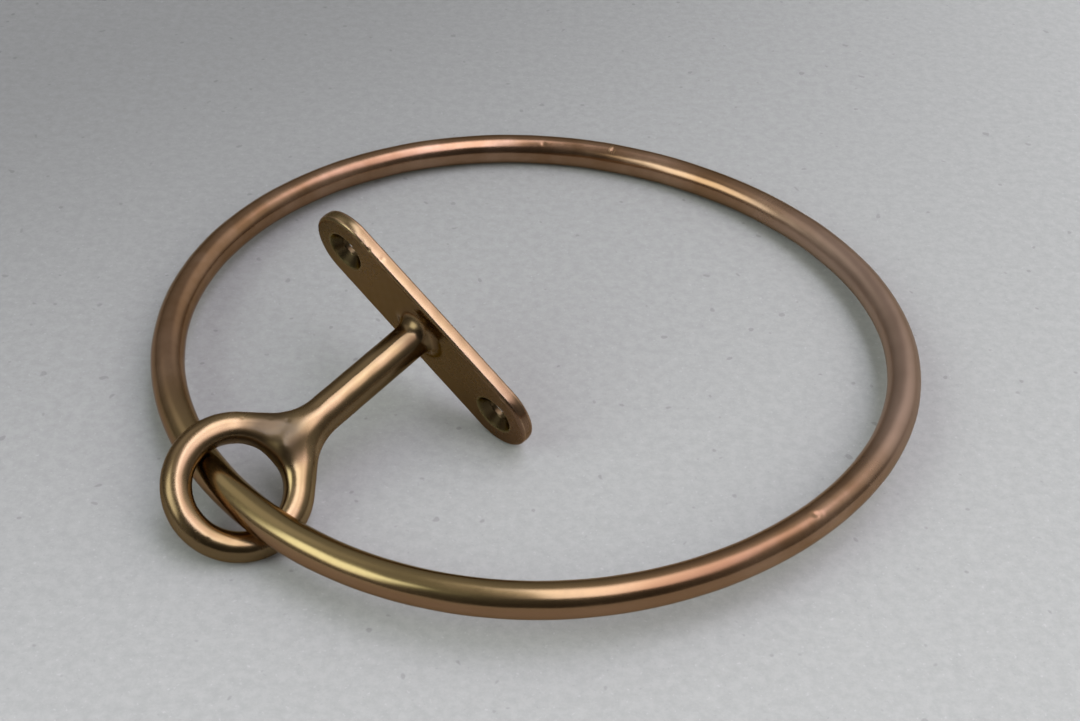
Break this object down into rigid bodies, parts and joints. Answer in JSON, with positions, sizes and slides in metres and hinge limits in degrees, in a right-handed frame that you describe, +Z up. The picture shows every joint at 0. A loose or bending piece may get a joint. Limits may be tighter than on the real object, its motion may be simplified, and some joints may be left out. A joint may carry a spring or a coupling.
{
  "type": "ring with eye bracket",
  "caption": "Round metal hoop held captive in the eye of a short-stemmed screw plate, lying loose; the hoop swings freely in the eye.",
  "frame": {"origin": "on the bench plane, under the middle of the hoop's bounding box, with the loose fitting lying as it settles on a flat bench", "axes": "+Z up from the bench; +Y from the near side of the hoop, where the eye lies to the left, to its far side; +X to the right"},
  "size_m": [0.1636, 0.1634, 0.0407],
  "materials": {
    "bracket_bronze": "aged bronze, satin polished, tarnished in the corners",
    "hoop_bronze": "aged bronze, satin polished, with a purple-brown patina",
    "braze": "paler yellow braze, filed flush"
  },
  "bodies": {
    "bracket": {"eye_bracket": "bracket_bronze"},
    "hoop": {"hoop_bar": "hoop_bronze", "braze_seam": "braze"}
  },
  "joints": [
    {"name": "hoop_swing", "type": "hinge", "parent": "bracket", "child": "hoop", "pos_m": [-0.05658, -0.05319, 0.00947], "axis": [0.6728, -0.7391, 0.0336], "continuous": true}
  ]
}
